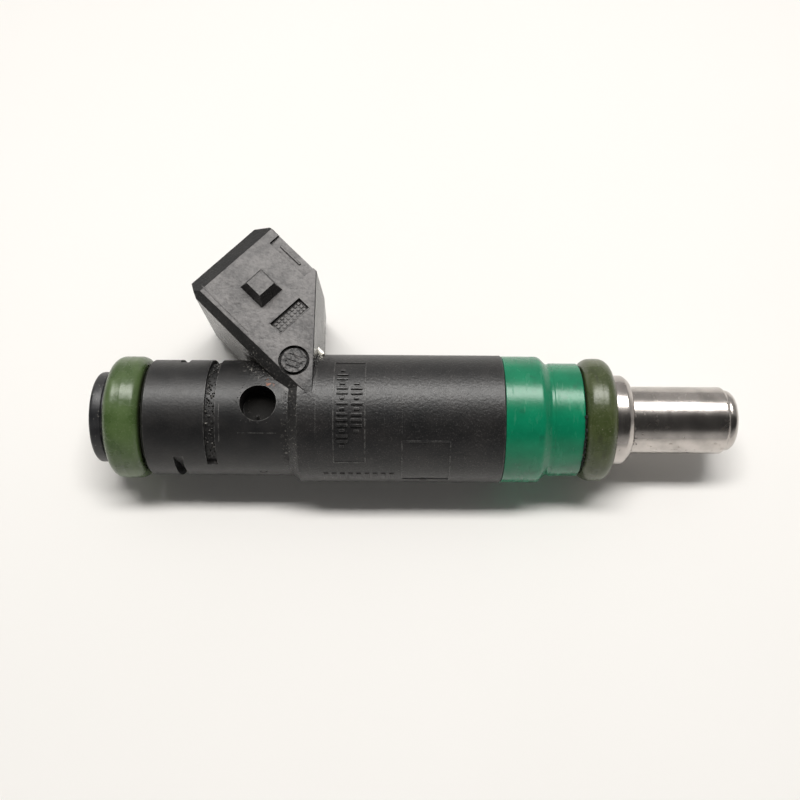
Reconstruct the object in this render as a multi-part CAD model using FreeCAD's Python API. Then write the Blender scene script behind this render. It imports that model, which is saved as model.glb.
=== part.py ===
import FreeCAD, Part
import math
import os

# Port fuel injector with an angled electrical socket.
# Frame: the injector's axis is X, from the fuel inlet (-X) to the nozzle (+X).
# The origin is on that axis, at the centre plane of the lower (manifold) seal.
# +Y is the side the socket leans out of, and Z=0 is the plane of symmetry.

# Seals and the surfaces they sit on.
seal_pitch = 54.9
lower_seal_section = 3.15
lower_seal_width = 3.8
lower_seal_corner = 1.5
upper_seal_radius = 7.3
upper_seal_width = 4.2
upper_seal_corner = 1.2
seal_side_gap = 0.05
neck_side_gap = 0.25

# Outside of the moulded housing.
neck_radius = 6.9
neck_edge = 0.3
shoulder_length = 1.1
body_wall = 1.15
body_length = 24.75
body_edge = 0.15
collar_swell = 0.07
collar_shift = 0.12

# Coloured sleeve below the housing.
sleeve_length = 9.09
sleeve_step = 0.1
sleeve_nose_step = 0.6
sleeve_nose_length = 3.74
sleeve_cone_length = 1.0
sleeve_core_wall = 0.9
sleeve_core_depth = 5.4
sleeve_edge = 0.12

# Upper seal retainer on the inlet end.
retainer_radius = 5.4
retainer_length = 1.84
retainer_edge = 0.4
inlet_recess = 0.3

# Inlet tube, pole piece, shell and valve body: the steel fuel tube.
inlet_tube_radius = 3.76
inlet_tube_wall = 0.5
inlet_flare = 0.55
inlet_flare_length = 0.6
fuel_tube_step = 0.18
shell_wall = 0.45
pole_bore_radius = 1.9
pole_spigot_length = 5.0
pole_cover = 1.4
shell_on_pole = 3.0
shell_below_gap = 6.0

# Nozzle end.
nozzle_radius = 4.02
tip_reach = 16.78
crimp_length = 1.4
crimp_step = 0.44
crimp_lip = 0.7
crimp_lip_reach = 0.6
crimp_round = 0.75
nozzle_wall = 1.12
valve_bore_below = 1.0
nozzle_flange_height = 1.15
nozzle_flange_length = 2.2
nozzle_flange_edge = 0.2

# Coil, its can and the flux washer.
coil_space = 2.3
can_wall = 0.55
can_floor = 1.0
can_below_shoulder = 6.0
flux_washer_thickness = 1.2
flux_slot_width = 6.6
bobbin_clearance = 0.08
bobbin_hub_wall = 0.6
bobbin_flange = 1.0
winding_below_flange = 0.09

# Valve: moving parts, seat stack and spring.
needle_lift = 0.15
stop_clearance = 0.01
armature_clearance = 0.07
armature_length = 9.0
spring_pocket_radius = 1.85
spring_pocket_depth = 2.4
needle_tube_radius = 1.55
needle_tube_wall = 0.45
needle_tube_grip = 4.0
needle_port_radius = 0.5
needle_port_inset = 1.5
ball_radius = 1.9
ball_guide_clearance = 0.03
seat_clearance = 0.01
guide_thickness = 0.5
guide_port_radius = 0.3
seat_length = 2.55
seat_half_angle = 45.0
seat_throat_radius = 0.6
seat_groove_depth = 0.5
seat_groove_width = 0.9
seat_groove_above_end = 0.7
seat_ring_corner = 0.2
disc_thickness = 0.25
disc_port_radius = 0.15
disc_port_circle = 0.7
backup_thickness = 0.6
backup_bore_radius = 1.6
adjusting_tube_length = 8.4
adjusting_tube_wall = 0.7
spring_wire_radius = 0.22
spring_mean_radius = 1.5
spring_pitch = 0.98
spring_space = 7.0

# Inlet filter.
filter_ring_wall = 0.5
filter_ring_length = 2.2
filter_ring_inset = 0.5
filter_frame_wall = 0.4
filter_rib_width = 0.8
filter_length = 12.0
filter_floor = 0.6
filter_screen_wall = 0.1
filter_ribs = 4

# Electrical socket. It leans towards the inlet: u runs out along its axis from
# the injector's axis, and v runs across it, both in the plane Z=0.
socket_lean = 45.0
socket_foot_set_back = 10.145
socket_mouth_u = 26.15
socket_low_wall = 2.2
socket_high_wall = 2.1
socket_side_draft = 0.3
socket_root_sink = 0.03
socket_bevel_length = 1.95
socket_bevel_drop = 1.2
socket_mouth_low_bevel = 0.9
socket_side_bevel = 0.85
socket_wall_set_back = 3.2
socket_wall_draft = 0.35
socket_corner_u = 1.55
socket_corner_v = 1.3
socket_edge = 0.15
socket_mouth_wall = 0.65
cavity_thickness = 8.0
cavity_depth = 9.9
cavity_edge = 0.5
root_heel_set_back = 1.2
root_knee_y = 1.0

# Catches for the plug's wire clip, one on each side face of the socket.
catch_u = 19.4
catch_base_u = 4.2
catch_base_v = 3.6
catch_top = 2.2
catch_height = 2.0
catch_back_slope = 0.75
catch_sink = 0.5

# Small moulded details of the housing.
key_step_width = 1.5
key_step_depth = 0.3
key_step_low_u = 16.9
key_step_high_u = 23.0
date_pocket_u = 14.5
date_pocket_length = 4.6
date_pocket_width = 1.8
date_pocket_depth = 0.3
round_mark_set_back = 0.6
round_mark_y = 4.8
round_mark_radius = 1.8
round_mark_width = 0.35
round_mark_depth = 0.25
side_hole_from_shoulder = 3.4
side_hole_radius = 2.1
side_hole_floor = 0.25
clip_slot_from_end = 4.0
clip_slot_width = 1.1
clip_slot_depth = 1.2
ring_groove_from_end = 7.85
ring_groove_width = 1.2
ring_groove_depth = 0.5
ring_groove_bridge = 23.0

# Terminals: two blades in the socket, each with a leg into the coil bobbin.
blade_width = 2.8
blade_thickness = 0.8
blade_pitch = 5.0
blade_below_mouth = 4.65
blade_root = 6.85
leg_width = 1.0
leg_clearance = 0.3
leg_can_clearance = 0.172
leg_in_flange = 0.7

# Stations along the axis, worked out from the sizes above.
upper_seal_x = -seal_pitch
neck_x = upper_seal_x + upper_seal_width / 2 + neck_side_gap
retainer_face_x = upper_seal_x - upper_seal_width / 2 - seal_side_gap
retainer_end_x = retainer_face_x - retainer_length
inlet_end_x = retainer_end_x + inlet_recess
sleeve_end_x = -lower_seal_width / 2 - seal_side_gap
body_end_x = sleeve_end_x - sleeve_length
shoulder_x = body_end_x - body_length
clip_slot_x = neck_x + clip_slot_from_end
ring_groove_x = neck_x + ring_groove_from_end
side_hole_x = shoulder_x - side_hole_from_shoulder
can_top_x = shoulder_x + can_below_shoulder
can_floor_x = body_end_x - can_floor
bobbin_top_x = can_top_x + flux_washer_thickness
gap_x = (bobbin_top_x + can_floor_x) / 2
pole_top_x = can_top_x - pole_cover
shell_top_x = gap_x - shell_on_pole
shell_end_x = gap_x + shell_below_gap
armature_top_x = gap_x + needle_lift + stop_clearance
armature_end_x = armature_top_x + armature_length
spring_seat_x = armature_top_x + spring_pocket_depth
adjusting_end_x = spring_seat_x - spring_space
flange_x = lower_seal_width / 2 + seal_side_gap
flange_end_x = flange_x + nozzle_flange_length
crimp_x = tip_reach - crimp_length
lip_x = tip_reach - crimp_lip
backup_x = lip_x - backup_thickness
disc_x = backup_x - disc_thickness
seat_x = disc_x - seat_length
guide_x = seat_x - guide_thickness
ball_x = seat_x - guide_thickness / 2
needle_top_x = armature_end_x - needle_tube_grip

# Radii worked out from the sizes above.
nozzle_bore_radius = nozzle_radius - nozzle_wall
crimp_radius = nozzle_radius - crimp_step
crimp_lip_radius = nozzle_bore_radius - crimp_lip_reach
fuel_tube_radius = nozzle_radius + fuel_tube_step
can_radius = fuel_tube_radius + coil_space
body_radius = can_radius + body_wall
sleeve_radius = body_radius - sleeve_step
lower_seal_radius = fuel_tube_radius + lower_seal_section
sleeve_nose_radius = lower_seal_radius - sleeve_nose_step
nozzle_flange_radius = fuel_tube_radius + nozzle_flange_height
inlet_bore_radius = inlet_tube_radius - inlet_tube_wall
shell_bore_radius = fuel_tube_radius - shell_wall
armature_radius = shell_bore_radius - armature_clearance
can_bore_radius = can_radius - can_wall
bobbin_bore_radius = fuel_tube_radius + bobbin_clearance
bobbin_hub_radius = bobbin_bore_radius + bobbin_hub_wall
bobbin_flange_radius = can_bore_radius - bobbin_clearance
winding_radius = bobbin_flange_radius - winding_below_flange
needle_bore_radius = needle_tube_radius - needle_tube_wall
filter_bore_radius = inlet_bore_radius - filter_ring_wall
filter_screen_radius = filter_bore_radius - filter_frame_wall

# Places in the socket, and the directions along it and across it.
socket_foot_x = shoulder_x + socket_foot_set_back
socket_wall_x = shoulder_x + socket_wall_set_back
root_heel_x = shoulder_x + root_heel_set_back
round_mark_x = shoulder_x + round_mark_set_back
socket_half_width = body_radius - socket_side_draft
socket_low_v = -cavity_thickness / 2 - socket_low_wall
socket_high_v = cavity_thickness / 2 + socket_high_wall
cavity_half_width = socket_half_width - socket_bevel_drop - socket_mouth_wall
cavity_floor_u = socket_mouth_u - cavity_depth
leg_y = fuel_tube_radius + leg_clearance + blade_thickness / 2
leg_outer_y = leg_y + blade_thickness / 2
leg_outer_z = math.sqrt((can_bore_radius - leg_can_clearance) ** 2 - leg_outer_y ** 2)
lean = math.radians(socket_lean)
along_socket = FreeCAD.Vector(-math.cos(lean), math.sin(lean), 0)
across_socket = FreeCAD.Vector(math.sin(lean), math.cos(lean), 0)
up = FreeCAD.Vector(0, 0, 1)
axis_x = FreeCAD.Vector(1, 0, 0)
origin = FreeCAD.Vector(0, 0, 0)
socket_foot = FreeCAD.Vector(socket_foot_x, 0, 0)
far = 100.0
overrun = 1.0


def in_socket(u, v, z=0.0):
    """Return the point at u along the socket's axis, v across it and height z."""
    return socket_foot + along_socket * u + across_socket * v + up * z


def flat_face(points):
    """Return the plane face inside a closed outline of points."""
    return Part.Face(Part.makePolygon(points + [points[0]]))


def turned(outline):
    """Return the solid turned about the X axis from (x, radius) points."""
    points = [FreeCAD.Vector(x, radius, 0) for x, radius in outline]
    return flat_face(points).revolve(origin, axis_x, 360)


def tube(start_x, end_x, outer, inner):
    """Return a plain tube about the X axis."""
    outline = [(start_x, inner), (start_x, outer), (end_x, outer), (end_x, inner)]
    return turned(outline)


def rod(start_x, end_x, radius):
    """Return a plain cylinder about the X axis."""
    return Part.makeCylinder(radius, end_x - start_x, FreeCAD.Vector(start_x, 0, 0), axis_x)


def ring_edges(solid, x, radius):
    """Return the circular edges of a turned solid at a station and radius."""
    found = []
    for edge in solid.Edges:
        circle = isinstance(edge.Curve, Part.Circle)
        if circle and abs(edge.Curve.Radius - radius) < 1e-4 and abs(edge.Curve.Center.x - x) < 1e-4:
            found.append(edge)
    return found


def block(low_x, high_x, low_y, high_y, low_z, high_z):
    """Return a box between two corners."""
    corner = FreeCAD.Vector(low_x, low_y, low_z)
    return Part.makeBox(high_x - low_x, high_y - low_y, high_z - low_z, corner)


def socket_block(low_u, high_u, low_v, high_v, low_z, high_z):
    """Return a box whose sides run along and across the socket."""
    corners = [(low_u, low_v), (high_u, low_v), (high_u, high_v), (low_u, high_v)]
    face = flat_face([in_socket(u, v, low_z) for u, v in corners])
    return face.extrude(up * (high_z - low_z))


def both_sides(shape):
    """Return a shape together with its mirror image in the plane Z=0."""
    return [shape, shape.mirror(origin, up)]


def write(solid, name):
    """Write one piece to its own STEP file and print its volume."""
    solid = solid.removeSplitter()
    if len(solid.Solids) == 1:
        solid = solid.Solids[0]
    solid.exportStep("parts/" + name + ".step")
    print(name, "valid" if solid.isValid() else "NOT VALID", len(solid.Solids), round(solid.Volume, 2))


def round_ring(ring, corner):
    """Return a turned ring with all its circular edges rounded."""
    edges = [edge for edge in ring.Edges if isinstance(edge.Curve, Part.Circle)]
    return ring.makeFillet(corner, edges)


def seal(centre_x, width, outer, inner, corner):
    """Return an O-ring that has taken a set: its crown and sides are a little flat."""
    return round_ring(tube(centre_x - width / 2, centre_x + width / 2, outer, inner), corner)


# The moulded housing.


def housing_core():
    """Return the turned neck, shoulder and body of the housing."""
    outline = [
        (neck_x, 0),
        (neck_x, neck_radius - neck_edge),
        (neck_x + neck_edge, neck_radius),
        (shoulder_x, neck_radius),
        (shoulder_x + shoulder_length, body_radius),
        (body_end_x - body_edge, body_radius),
        (body_end_x, body_radius - body_edge),
        (body_end_x, 0),
    ]
    return turned(outline)


def socket_collar():
    """Return the swell round the body under the socket, which fades out opposite it."""
    start = FreeCAD.Vector(shoulder_x + shoulder_length, collar_shift, 0)
    length = socket_wall_x - start.x
    return Part.makeCylinder(body_radius + collar_swell, length, start, axis_x)


def socket_side_prism():
    """Return the prism of the socket's side faces: drafted, and bevelled at the mouth."""
    root_half_width = body_radius + collar_swell - socket_root_sink
    root_u = (socket_foot_x - root_heel_x) * math.cos(lean)
    bevel_u = socket_mouth_u - socket_bevel_length
    mouth_half_width = socket_half_width - socket_bevel_drop
    half = [
        (0, root_half_width),
        (root_u, root_half_width),
        (bevel_u, socket_half_width),
        (socket_mouth_u, mouth_half_width),
    ]
    side = half + [(u, -z) for u, z in reversed(half)]
    return flat_face([in_socket(u, -far, z) for u, z in side]).extrude(across_socket * (2 * far))


def socket_end_prism():
    """Return the prism that bevels the long edges on the low side of the socket."""
    rise = body_radius
    half = [
        (socket_low_v, socket_half_width - socket_side_bevel),
        (socket_low_v + socket_side_bevel + rise, socket_half_width + rise),
        (far, socket_half_width + rise),
    ]
    end = half + [(v, -z) for v, z in reversed(half)]
    return flat_face([in_socket(0, v, z) for v, z in end]).extrude(along_socket * far)


def socket_wall_prism():
    """Return the prism that drafts the wall facing the nozzle away from its parting line."""
    height = 2 * body_radius
    lean_in = socket_wall_draft * height / socket_half_width
    section = [
        FreeCAD.Vector(socket_wall_x, -far, 0),
        FreeCAD.Vector(socket_wall_x - lean_in, -far, height),
        FreeCAD.Vector(-far, -far, height),
        FreeCAD.Vector(-far, -far, -height),
        FreeCAD.Vector(socket_wall_x - lean_in, -far, -height),
    ]
    return flat_face(section).extrude(FreeCAD.Vector(0, 2 * far, 0))


def socket_outer():
    """Return the solid outside of the socket, with its draft, bevels and rounded edges."""
    wall_top_y = (socket_high_v - math.sin(lean) * (socket_wall_x - socket_foot_x)) / math.cos(lean)
    low_end_x = socket_foot_x + (socket_low_v - math.cos(lean) * root_knee_y) / math.sin(lean)
    plan = [
        in_socket(socket_mouth_u, socket_low_v + socket_mouth_low_bevel),
        in_socket(socket_mouth_u, socket_high_v - socket_corner_v),
        in_socket(socket_mouth_u - socket_corner_u, socket_high_v),
        FreeCAD.Vector(socket_wall_x, wall_top_y, 0),
        FreeCAD.Vector(socket_wall_x, 0, 0),
        FreeCAD.Vector(root_heel_x, 0, 0),
        FreeCAD.Vector(low_end_x, root_knee_y, 0),
        in_socket(socket_mouth_u - socket_bevel_length, socket_low_v),
    ]
    plan_face = flat_face([point - up * far for point in plan])
    solid = plan_face.extrude(up * 2 * far)
    for prism in (socket_side_prism(), socket_end_prism(), socket_wall_prism()):
        solid = solid.common(prism)
    solid = solid.removeSplitter()
    edges = []
    for edge in solid.Edges:
        box = edge.BoundBox
        parting_line = box.ZMin > -socket_edge and box.ZMax < socket_edge
        if box.YMax > body_radius and not parting_line:
            edges.append(edge)
    return solid.makeFillet(socket_edge, edges)


def wire_catch():
    """Return one tapered catch on the upper side face of the socket."""
    low_z = socket_half_width - catch_sink
    top_z = socket_half_width + catch_height
    base_low = catch_u - catch_base_u / 2
    top_low = base_low + catch_back_slope
    outlines = [
        (base_low, base_low + catch_base_u, catch_base_v / 2, low_z),
        (top_low, top_low + catch_top, catch_top / 2, top_z),
    ]
    wires = []
    for low_u, high_u, half_v, z in outlines:
        corners = [(low_u, -half_v), (high_u, -half_v), (high_u, half_v), (low_u, half_v)]
        points = [in_socket(u, v, z) for u, v in corners]
        wires.append(Part.makePolygon(points + [points[0]]))
    return Part.makeLoft(wires, True, True)


def metal_cavity():
    """Return the space inside the housing that the tube, pole piece and coil can fill."""
    outline = [
        (neck_x - overrun, 0),
        (neck_x - overrun, inlet_tube_radius),
        (pole_top_x, inlet_tube_radius),
        (pole_top_x, fuel_tube_radius),
        (can_top_x, fuel_tube_radius),
        (can_top_x, can_radius),
        (body_end_x + overrun, can_radius),
        (body_end_x + overrun, 0),
    ]
    return turned(outline)


def socket_cavity():
    """Return the hollow that takes the plug."""
    half_v = cavity_thickness / 2
    half_z = cavity_half_width
    box = socket_block(cavity_floor_u, socket_mouth_u + overrun, -half_v, half_v, -half_z, half_z)
    lengthwise = []
    for edge in box.Edges:
        direction = edge.tangentAt(edge.FirstParameter)
        if abs(direction.dot(along_socket)) > 0.99:
            lengthwise.append(edge)
    return box.makeFillet(cavity_edge, lengthwise)


def ring_groove():
    """Return the groove round the neck, which stops short of a bridge opposite the socket."""
    start = ring_groove_x - ring_groove_width / 2
    end = ring_groove_x + ring_groove_width / 2
    groove = tube(start, end, neck_radius + overrun, neck_radius - ring_groove_depth)
    half = math.radians(ring_groove_bridge)
    reach = 2 * neck_radius
    corners = [
        FreeCAD.Vector(start - overrun, 0, 0),
        FreeCAD.Vector(start - overrun, -reach * math.cos(half), -reach * math.sin(half)),
        FreeCAD.Vector(start - overrun, -reach * math.cos(half), reach * math.sin(half)),
    ]
    bridge = flat_face(corners).extrude(axis_x * (ring_groove_width + 2 * overrun))
    return groove.cut(bridge)


def clip_slots():
    """Return the two straight slots that take the rail clip, one on each side of the neck."""
    start = clip_slot_x - clip_slot_width / 2
    end = clip_slot_x + clip_slot_width / 2
    floor_y = neck_radius - clip_slot_depth
    plus_side = block(start, end, floor_y, 2 * neck_radius, -far, far)
    minus_side = block(start, end, -2 * neck_radius, -floor_y, -far, far)
    return [plus_side, minus_side]


def side_hole():
    """Return the blind moulding hole in the neck, which stops above the inlet tube."""
    foot = FreeCAD.Vector(side_hole_x, 0, inlet_tube_radius + side_hole_floor)
    return Part.makeCylinder(side_hole_radius, body_radius, foot, up)


def key_step():
    """Return the shallow step along the edge of the socket's side face."""
    z = socket_half_width - key_step_depth
    high_v = socket_high_v + overrun
    low_v = socket_high_v - key_step_width
    return socket_block(key_step_low_u, key_step_high_u, low_v, high_v, z, far)


def date_pocket():
    """Return the small rectangular pocket in the socket's side face."""
    z = socket_half_width - date_pocket_depth
    half_u = date_pocket_width / 2
    half_v = date_pocket_length / 2
    return socket_block(date_pocket_u - half_u, date_pocket_u + half_u, -half_v, half_v, z, far)


def round_mark():
    """Return the plain recessed ring near the root of the socket."""
    foot = FreeCAD.Vector(round_mark_x, round_mark_y, socket_half_width - round_mark_depth)
    outer = Part.makeCylinder(round_mark_radius, far, foot, up)
    inner = Part.makeCylinder(round_mark_radius - round_mark_width, far, foot, up)
    return outer.cut(inner)


def overmold_housing():
    """Return the glass-filled nylon moulding: neck, body and electrical socket in one."""
    solid = housing_core().fuse([socket_collar(), socket_outer()] + both_sides(wire_catch()))
    cuts = [metal_cavity(), socket_cavity(), ring_groove(), key_step(), date_pocket(), round_mark()]
    cuts += clip_slots()
    cuts += both_sides(side_hole())
    cuts += [terminal(side) for side in (-1, 1)]
    return solid.cut(cuts)


# The parts pressed or moulded round the fuel tube.


def color_sleeve():
    """Return the coloured nylon sleeve, cored out from its upper face."""
    nose_x = sleeve_end_x - sleeve_nose_length
    outline = [
        (body_end_x, fuel_tube_radius),
        (body_end_x, sleeve_radius - sleeve_edge),
        (body_end_x + sleeve_edge, sleeve_radius),
        (nose_x - sleeve_cone_length, sleeve_radius),
        (nose_x, sleeve_nose_radius),
        (sleeve_end_x - sleeve_edge, sleeve_nose_radius),
        (sleeve_end_x, sleeve_nose_radius - sleeve_edge),
        (sleeve_end_x, fuel_tube_radius),
    ]
    core_inner = fuel_tube_radius + sleeve_core_wall
    core_outer = sleeve_nose_radius - sleeve_core_wall
    core = tube(body_end_x - overrun, body_end_x + sleeve_core_depth, core_outer, core_inner)
    return turned(outline).cut(core)


def upper_seal_retainer():
    """Return the nylon ring that keeps the upper seal on the inlet tube."""
    flare_radius = inlet_tube_radius + inlet_flare
    flare_end_x = inlet_end_x + inlet_flare_length
    outline = [
        (retainer_face_x, inlet_tube_radius),
        (flare_end_x, inlet_tube_radius),
        (flare_end_x, flare_radius),
        (retainer_end_x, flare_radius),
        (retainer_end_x, retainer_radius),
        (retainer_face_x, retainer_radius),
    ]
    ring = turned(outline)
    return ring.makeFillet(retainer_edge, ring_edges(ring, retainer_end_x, retainer_radius))


def lower_seal_retainer():
    """Return the steel collar that keeps the lower seal on the valve body."""
    ring = tube(flange_x, flange_end_x, nozzle_flange_radius, fuel_tube_radius)
    return ring.makeChamfer(nozzle_flange_edge, ring_edges(ring, flange_end_x, nozzle_flange_radius))


# The steel fuel tube: inlet tube, pole piece, non-magnetic shell and valve body.


def inlet_tube():
    """Return the drawn inlet tube with its flared mouth."""
    flare_radius = inlet_tube_radius + inlet_flare
    flare_end_x = inlet_end_x + inlet_flare_length
    outline = [
        (inlet_end_x, inlet_bore_radius),
        (inlet_end_x, flare_radius),
        (flare_end_x, flare_radius),
        (flare_end_x, inlet_tube_radius),
        (pole_top_x, inlet_tube_radius),
        (pole_top_x, inlet_bore_radius),
    ]
    return turned(outline)


def pole_piece():
    """Return the fixed pole: its spigot is in the inlet tube and its stub in the shell."""
    outline = [
        (pole_top_x - pole_spigot_length, pole_bore_radius),
        (pole_top_x - pole_spigot_length, inlet_bore_radius),
        (pole_top_x, inlet_bore_radius),
        (pole_top_x, fuel_tube_radius),
        (shell_top_x, fuel_tube_radius),
        (shell_top_x, shell_bore_radius),
        (gap_x, shell_bore_radius),
        (gap_x, pole_bore_radius),
    ]
    return turned(outline)


def non_magnetic_shell():
    """Return the thin austenitic tube that bridges the working gap."""
    return tube(shell_top_x, shell_end_x, fuel_tube_radius, shell_bore_radius)


def valve_body():
    """Return the long stainless valve body, its end crimped over the seat stack."""
    outline = [
        (shell_end_x, shell_bore_radius),
        (shell_end_x, fuel_tube_radius),
        (flange_end_x, fuel_tube_radius),
        (flange_end_x, nozzle_radius),
        (crimp_x, nozzle_radius),
        (crimp_x, crimp_radius),
        (tip_reach, crimp_radius),
        (tip_reach, crimp_lip_radius),
        (lip_x, crimp_lip_radius),
        (lip_x, nozzle_bore_radius),
        (armature_end_x + valve_bore_below, nozzle_bore_radius),
        (armature_end_x + valve_bore_below, shell_bore_radius),
    ]
    body = turned(outline)
    return body.makeFillet(crimp_round, ring_edges(body, tip_reach, crimp_radius))


# The coil and the magnetic circuit round it.


def coil_housing():
    """Return the drawn steel can round the coil."""
    can = tube(can_top_x, body_end_x, can_radius, fuel_tube_radius)
    return can.cut(tube(can_top_x - overrun, can_floor_x, can_bore_radius, fuel_tube_radius - overrun))


def flux_washer():
    """Return the C-shaped washer that closes the can, open where the terminals pass."""
    washer = tube(can_top_x, bobbin_top_x, can_bore_radius, fuel_tube_radius)
    half = flux_slot_width / 2
    return washer.cut(block(can_top_x - overrun, bobbin_top_x + overrun, 0, far, -half, half))


def coil_bobbin():
    """Return the coil former: a hub with a flange at each end and two terminal pockets."""
    outline = [
        (bobbin_top_x, bobbin_bore_radius),
        (bobbin_top_x, bobbin_flange_radius),
        (bobbin_top_x + bobbin_flange, bobbin_flange_radius),
        (bobbin_top_x + bobbin_flange, bobbin_hub_radius),
        (can_floor_x - bobbin_flange, bobbin_hub_radius),
        (can_floor_x - bobbin_flange, bobbin_flange_radius),
        (can_floor_x, bobbin_flange_radius),
        (can_floor_x, bobbin_bore_radius),
    ]
    return turned(outline).cut([terminal(side) for side in (-1, 1)])


def coil_winding():
    """Return the wound copper wire as one ring."""
    start = bobbin_top_x + bobbin_flange
    end = can_floor_x - bobbin_flange
    return tube(start, end, winding_radius, bobbin_hub_radius)


def terminal(side):
    """Return one terminal: a blade in the socket and a bent leg down to the coil."""
    half = blade_thickness / 2
    blade_z = side * blade_pitch / 2
    leg_z = side * (leg_outer_z - leg_width / 2)
    leg_inner_z = leg_z - side * leg_width / 2
    root_u = cavity_floor_u - blade_root
    tip_u = socket_mouth_u - blade_below_mouth
    low_z = blade_z - blade_width / 2
    high_z = blade_z + blade_width / 2
    blade = socket_block(root_u, tip_u, -half, half, low_z, high_z)
    low_z = min(leg_inner_z, blade_z)
    high_z = max(leg_inner_z, blade_z)
    foot = socket_block(root_u, root_u + blade_thickness, -half, half, low_z, high_z)
    low_z = leg_z - leg_width / 2
    high_z = leg_z + leg_width / 2
    bend_u = leg_y / math.sin(lean)
    neck = socket_block(bend_u, root_u, -half, half, low_z, high_z)
    bend_x = in_socket(bend_u, 0).x
    leg = block(bend_x, bobbin_top_x + leg_in_flange, leg_y - half, leg_y + half, low_z, high_z)
    return blade.fuse([foot, neck, leg])


# The valve: moving armature, needle tube and ball, with the spring above them.


def armature():
    """Return the armature, with its spring pocket above and its needle bore below."""
    outline = [
        (armature_top_x, spring_pocket_radius),
        (armature_top_x, armature_radius),
        (armature_end_x, armature_radius),
        (armature_end_x, needle_tube_radius),
        (needle_top_x, needle_tube_radius),
        (needle_top_x, needle_bore_radius),
        (spring_seat_x, needle_bore_radius),
        (spring_seat_x, spring_pocket_radius),
    ]
    return turned(outline)


def valve_ball():
    """Return the ball that closes the seat."""
    return Part.makeSphere(ball_radius, FreeCAD.Vector(ball_x, 0, 0))


def needle_tube():
    """Return the hollow needle between armature and ball, with two pairs of fuel ports."""
    solid = tube(needle_top_x, ball_x, needle_tube_radius, needle_bore_radius)
    ball_start_x = ball_x - math.sqrt(ball_radius ** 2 - needle_tube_radius ** 2)
    cuts = [valve_ball(), rod(ball_x - ball_radius / 2, ball_x + overrun, ball_radius)]
    for port_x in (armature_end_x + needle_port_inset, ball_start_x - needle_port_inset):
        for direction in (up, FreeCAD.Vector(0, 1, 0)):
            foot = FreeCAD.Vector(port_x, 0, 0) - direction * ball_radius
            cuts.append(Part.makeCylinder(needle_port_radius, 2 * ball_radius, foot, direction))
    return solid.cut(cuts)


def return_spring():
    """Return the coil spring between the adjusting tube and the armature."""
    length = spring_space - 2 * spring_wire_radius
    helix = Part.makeHelix(spring_pitch, length, spring_mean_radius)
    section = Part.makeCircle(
        spring_wire_radius,
        FreeCAD.Vector(spring_mean_radius, 0, 0),
        FreeCAD.Vector(0, 2 * math.pi * spring_mean_radius, spring_pitch),
    )
    spring = Part.Wire(helix).makePipeShell([Part.Wire(section)], True, True)
    spring.rotate(origin, FreeCAD.Vector(0, 1, 0), 90)
    spring.translate(FreeCAD.Vector(adjusting_end_x + spring_wire_radius, 0, 0))
    return spring


def adjusting_tube():
    """Return the tube that sets the spring's load, pressed into the pole piece."""
    start = adjusting_end_x - adjusting_tube_length
    return tube(start, adjusting_end_x, pole_bore_radius, pole_bore_radius - adjusting_tube_wall)


# The seat stack in the nozzle end.


def ports(count, circle_radius, port_radius, start_x, end_x):
    """Return a circle of small holes along X."""
    holes = []
    for index in range(count):
        angle = 2 * math.pi * (index + 0.5) / count
        foot = FreeCAD.Vector(start_x, circle_radius * math.cos(angle), circle_radius * math.sin(angle))
        holes.append(Part.makeCylinder(port_radius, end_x - start_x, foot, axis_x))
    return holes


def needle_guide():
    """Return the thin disc that guides the ball, with fuel ports round it."""
    guide_bore = ball_radius + ball_guide_clearance
    disc = tube(guide_x, seat_x, nozzle_bore_radius, guide_bore)
    port_circle = (nozzle_bore_radius + guide_bore) / 2
    return disc.cut(ports(4, port_circle, guide_port_radius, guide_x - overrun, seat_x + overrun))


def valve_seat():
    """Return the hardened seat: a cone for the ball, a throat and a seal groove outside."""
    half_angle = math.radians(seat_half_angle)
    apex_x = ball_x + (ball_radius + seat_clearance) / math.sin(half_angle)
    mouth_radius = (apex_x - seat_x) * math.tan(half_angle)
    throat_x = apex_x - seat_throat_radius / math.tan(half_angle)
    outline = [
        (seat_x, mouth_radius),
        (seat_x, nozzle_bore_radius),
        (disc_x, nozzle_bore_radius),
        (disc_x, seat_throat_radius),
        (throat_x, seat_throat_radius),
    ]
    groove_end = disc_x - seat_groove_above_end
    groove_floor = nozzle_bore_radius - seat_groove_depth
    groove = tube(groove_end - seat_groove_width, groove_end, nozzle_bore_radius + overrun, groove_floor)
    return turned(outline).cut(groove)


def seat_o_ring():
    """Return the small ring that seals the seat in the valve body."""
    centre_x = disc_x - seat_groove_above_end - seat_groove_width / 2
    floor = nozzle_bore_radius - seat_groove_depth
    return seal(centre_x, seat_groove_width, nozzle_bore_radius, floor, seat_ring_corner)


def orifice_disc():
    """Return the thin disc whose four holes shape the spray."""
    disc = rod(disc_x, backup_x, nozzle_bore_radius)
    return disc.cut(ports(4, disc_port_circle / 2, disc_port_radius, disc_x - overrun, backup_x + overrun))


def backup_washer():
    """Return the washer between the orifice disc and the crimp."""
    return tube(backup_x, lip_x, nozzle_bore_radius, backup_bore_radius)


# The inlet filter.


def filter_ring():
    """Return the brass ring that holds the filter in the inlet tube."""
    start = inlet_end_x + filter_ring_inset
    return tube(start, start + filter_ring_length, inlet_bore_radius, filter_bore_radius)


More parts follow.
